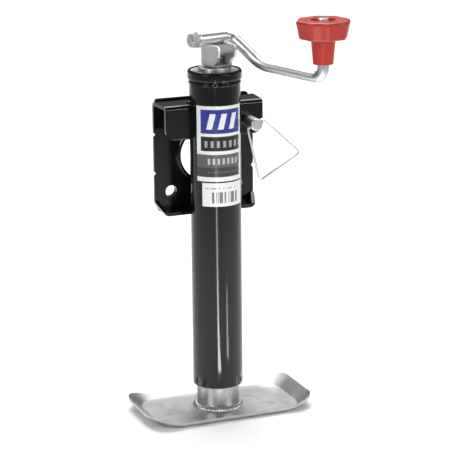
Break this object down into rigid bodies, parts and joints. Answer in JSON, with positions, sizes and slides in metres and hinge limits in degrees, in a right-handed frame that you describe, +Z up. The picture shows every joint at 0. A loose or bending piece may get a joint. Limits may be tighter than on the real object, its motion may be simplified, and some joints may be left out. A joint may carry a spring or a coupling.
{
  "type": "tongue jack stand",
  "caption": "Round-tube trailer jack stand with a folding top-wind crank, a dished footplate, a swivel mount and a sprung pull pin.",
  "frame": {"origin": "on the ground, under the axis of the round tube, at the footplate's flat underside", "axes": "+Z up along the tube, +Y towards the trailer frame that the mount plate is fastened to, +X to the right seen from the jack's front"},
  "size_m": [0.2184, 0.1731, 0.459],
  "materials": {
    "black_paint": "gloss",
    "zinc_plate": "satin",
    "galvanised": "satin",
    "plain_steel": "satin",
    "bronze": "satin",
    "red_plastic": "satin",
    "label_film": "satin"
  },
  "bodies": {
    "frame_mount": {"frame_plate": "black_paint", "trunnion_ring": "black_paint"},
    "jack_body": {"outer_tube": "black_paint", "top_cap": "zinc_plate", "bearing_upper_race": "plain_steel", "swivel_bracket": "black_paint", "bracket_welds": "black_paint", "label_main": "label_film", "label_code": "label_film", "pull_pin_spring": "plain_steel"},
    "ram": {"inner_tube": "galvanised", "screw_nut": "bronze", "footplate": "galvanised", "foot_weld": "galvanised"},
    "crank_head": {"lead_screw": "plain_steel", "bearing_lower_race": "plain_steel", "bearing_balls": "plain_steel", "bearing_cage": "bronze", "thrust_collar": "plain_steel", "collar_pin": "plain_steel", "stop_washer": "plain_steel", "stop_nut": "plain_steel", "yoke_washer": "zinc_plate", "crank_yoke": "zinc_plate", "head_nut": "zinc_plate", "pivot_barrel": "zinc_plate"},
    "crank_handle": {"crank_arm": "zinc_plate", "arm_washer": "zinc_plate", "arm_nut": "zinc_plate", "knob_retainer": "zinc_plate"},
    "handle_knob": {"crank_knob": "red_plastic"},
    "lock_pin": {"pull_pin": "zinc_plate", "pin_washer": "zinc_plate", "pin_snap_ring": "plain_steel"},
    "pin_bail": {"pull_bail": "zinc_plate"}
  },
  "joints": [
    {"name": "frame_swivel", "type": "hinge", "parent": "frame_mount", "child": "jack_body", "pos_m": [0, 0.037, 0.293], "axis": [0, 1, 0], "range_deg": [-90, 90]},
    {"name": "crank_spin", "type": "hinge", "parent": "jack_body", "child": "crank_head", "pos_m": [0, 0, 0.39], "axis": [0, 0, -1], "range_deg": [0, 18000]},
    {"name": "ram_slide", "type": "slide", "parent": "jack_body", "child": "ram", "axis": [0, 0, -1], "range_m": [0, 0.254]},
    {"name": "crank_fold", "type": "hinge", "parent": "crank_head", "child": "crank_handle", "pos_m": [-0.00123, 0.00556, 0.429], "axis": [-0.9763, -0.2164, 0], "range_deg": [0, 180]},
    {"name": "knob_spin", "type": "hinge", "parent": "crank_handle", "child": "handle_knob", "pos_m": [0.09, -0.091, 0.43], "axis": [0, 0, 1], "continuous": true},
    {"name": "pin_pull", "type": "slide", "parent": "jack_body", "child": "lock_pin", "axis": [0, -1, 0], "range_m": [0, 0.009], "stiffness_N_per_m": 700, "springref_m": -0.008, "deforming": ["pull_pin_spring"]},
    {"name": "bail_swing", "type": "hinge", "parent": "lock_pin", "child": "pin_bail", "pos_m": [0.0404, -0.0185, 0.3334], "axis": [0.866, 0, 0.5], "range_deg": [-110, 25]}
  ],
  "couplings": [
    {"joint": "ram_slide", "follows": "crank_spin", "m_per_rad": 0.00080851}
  ]
}
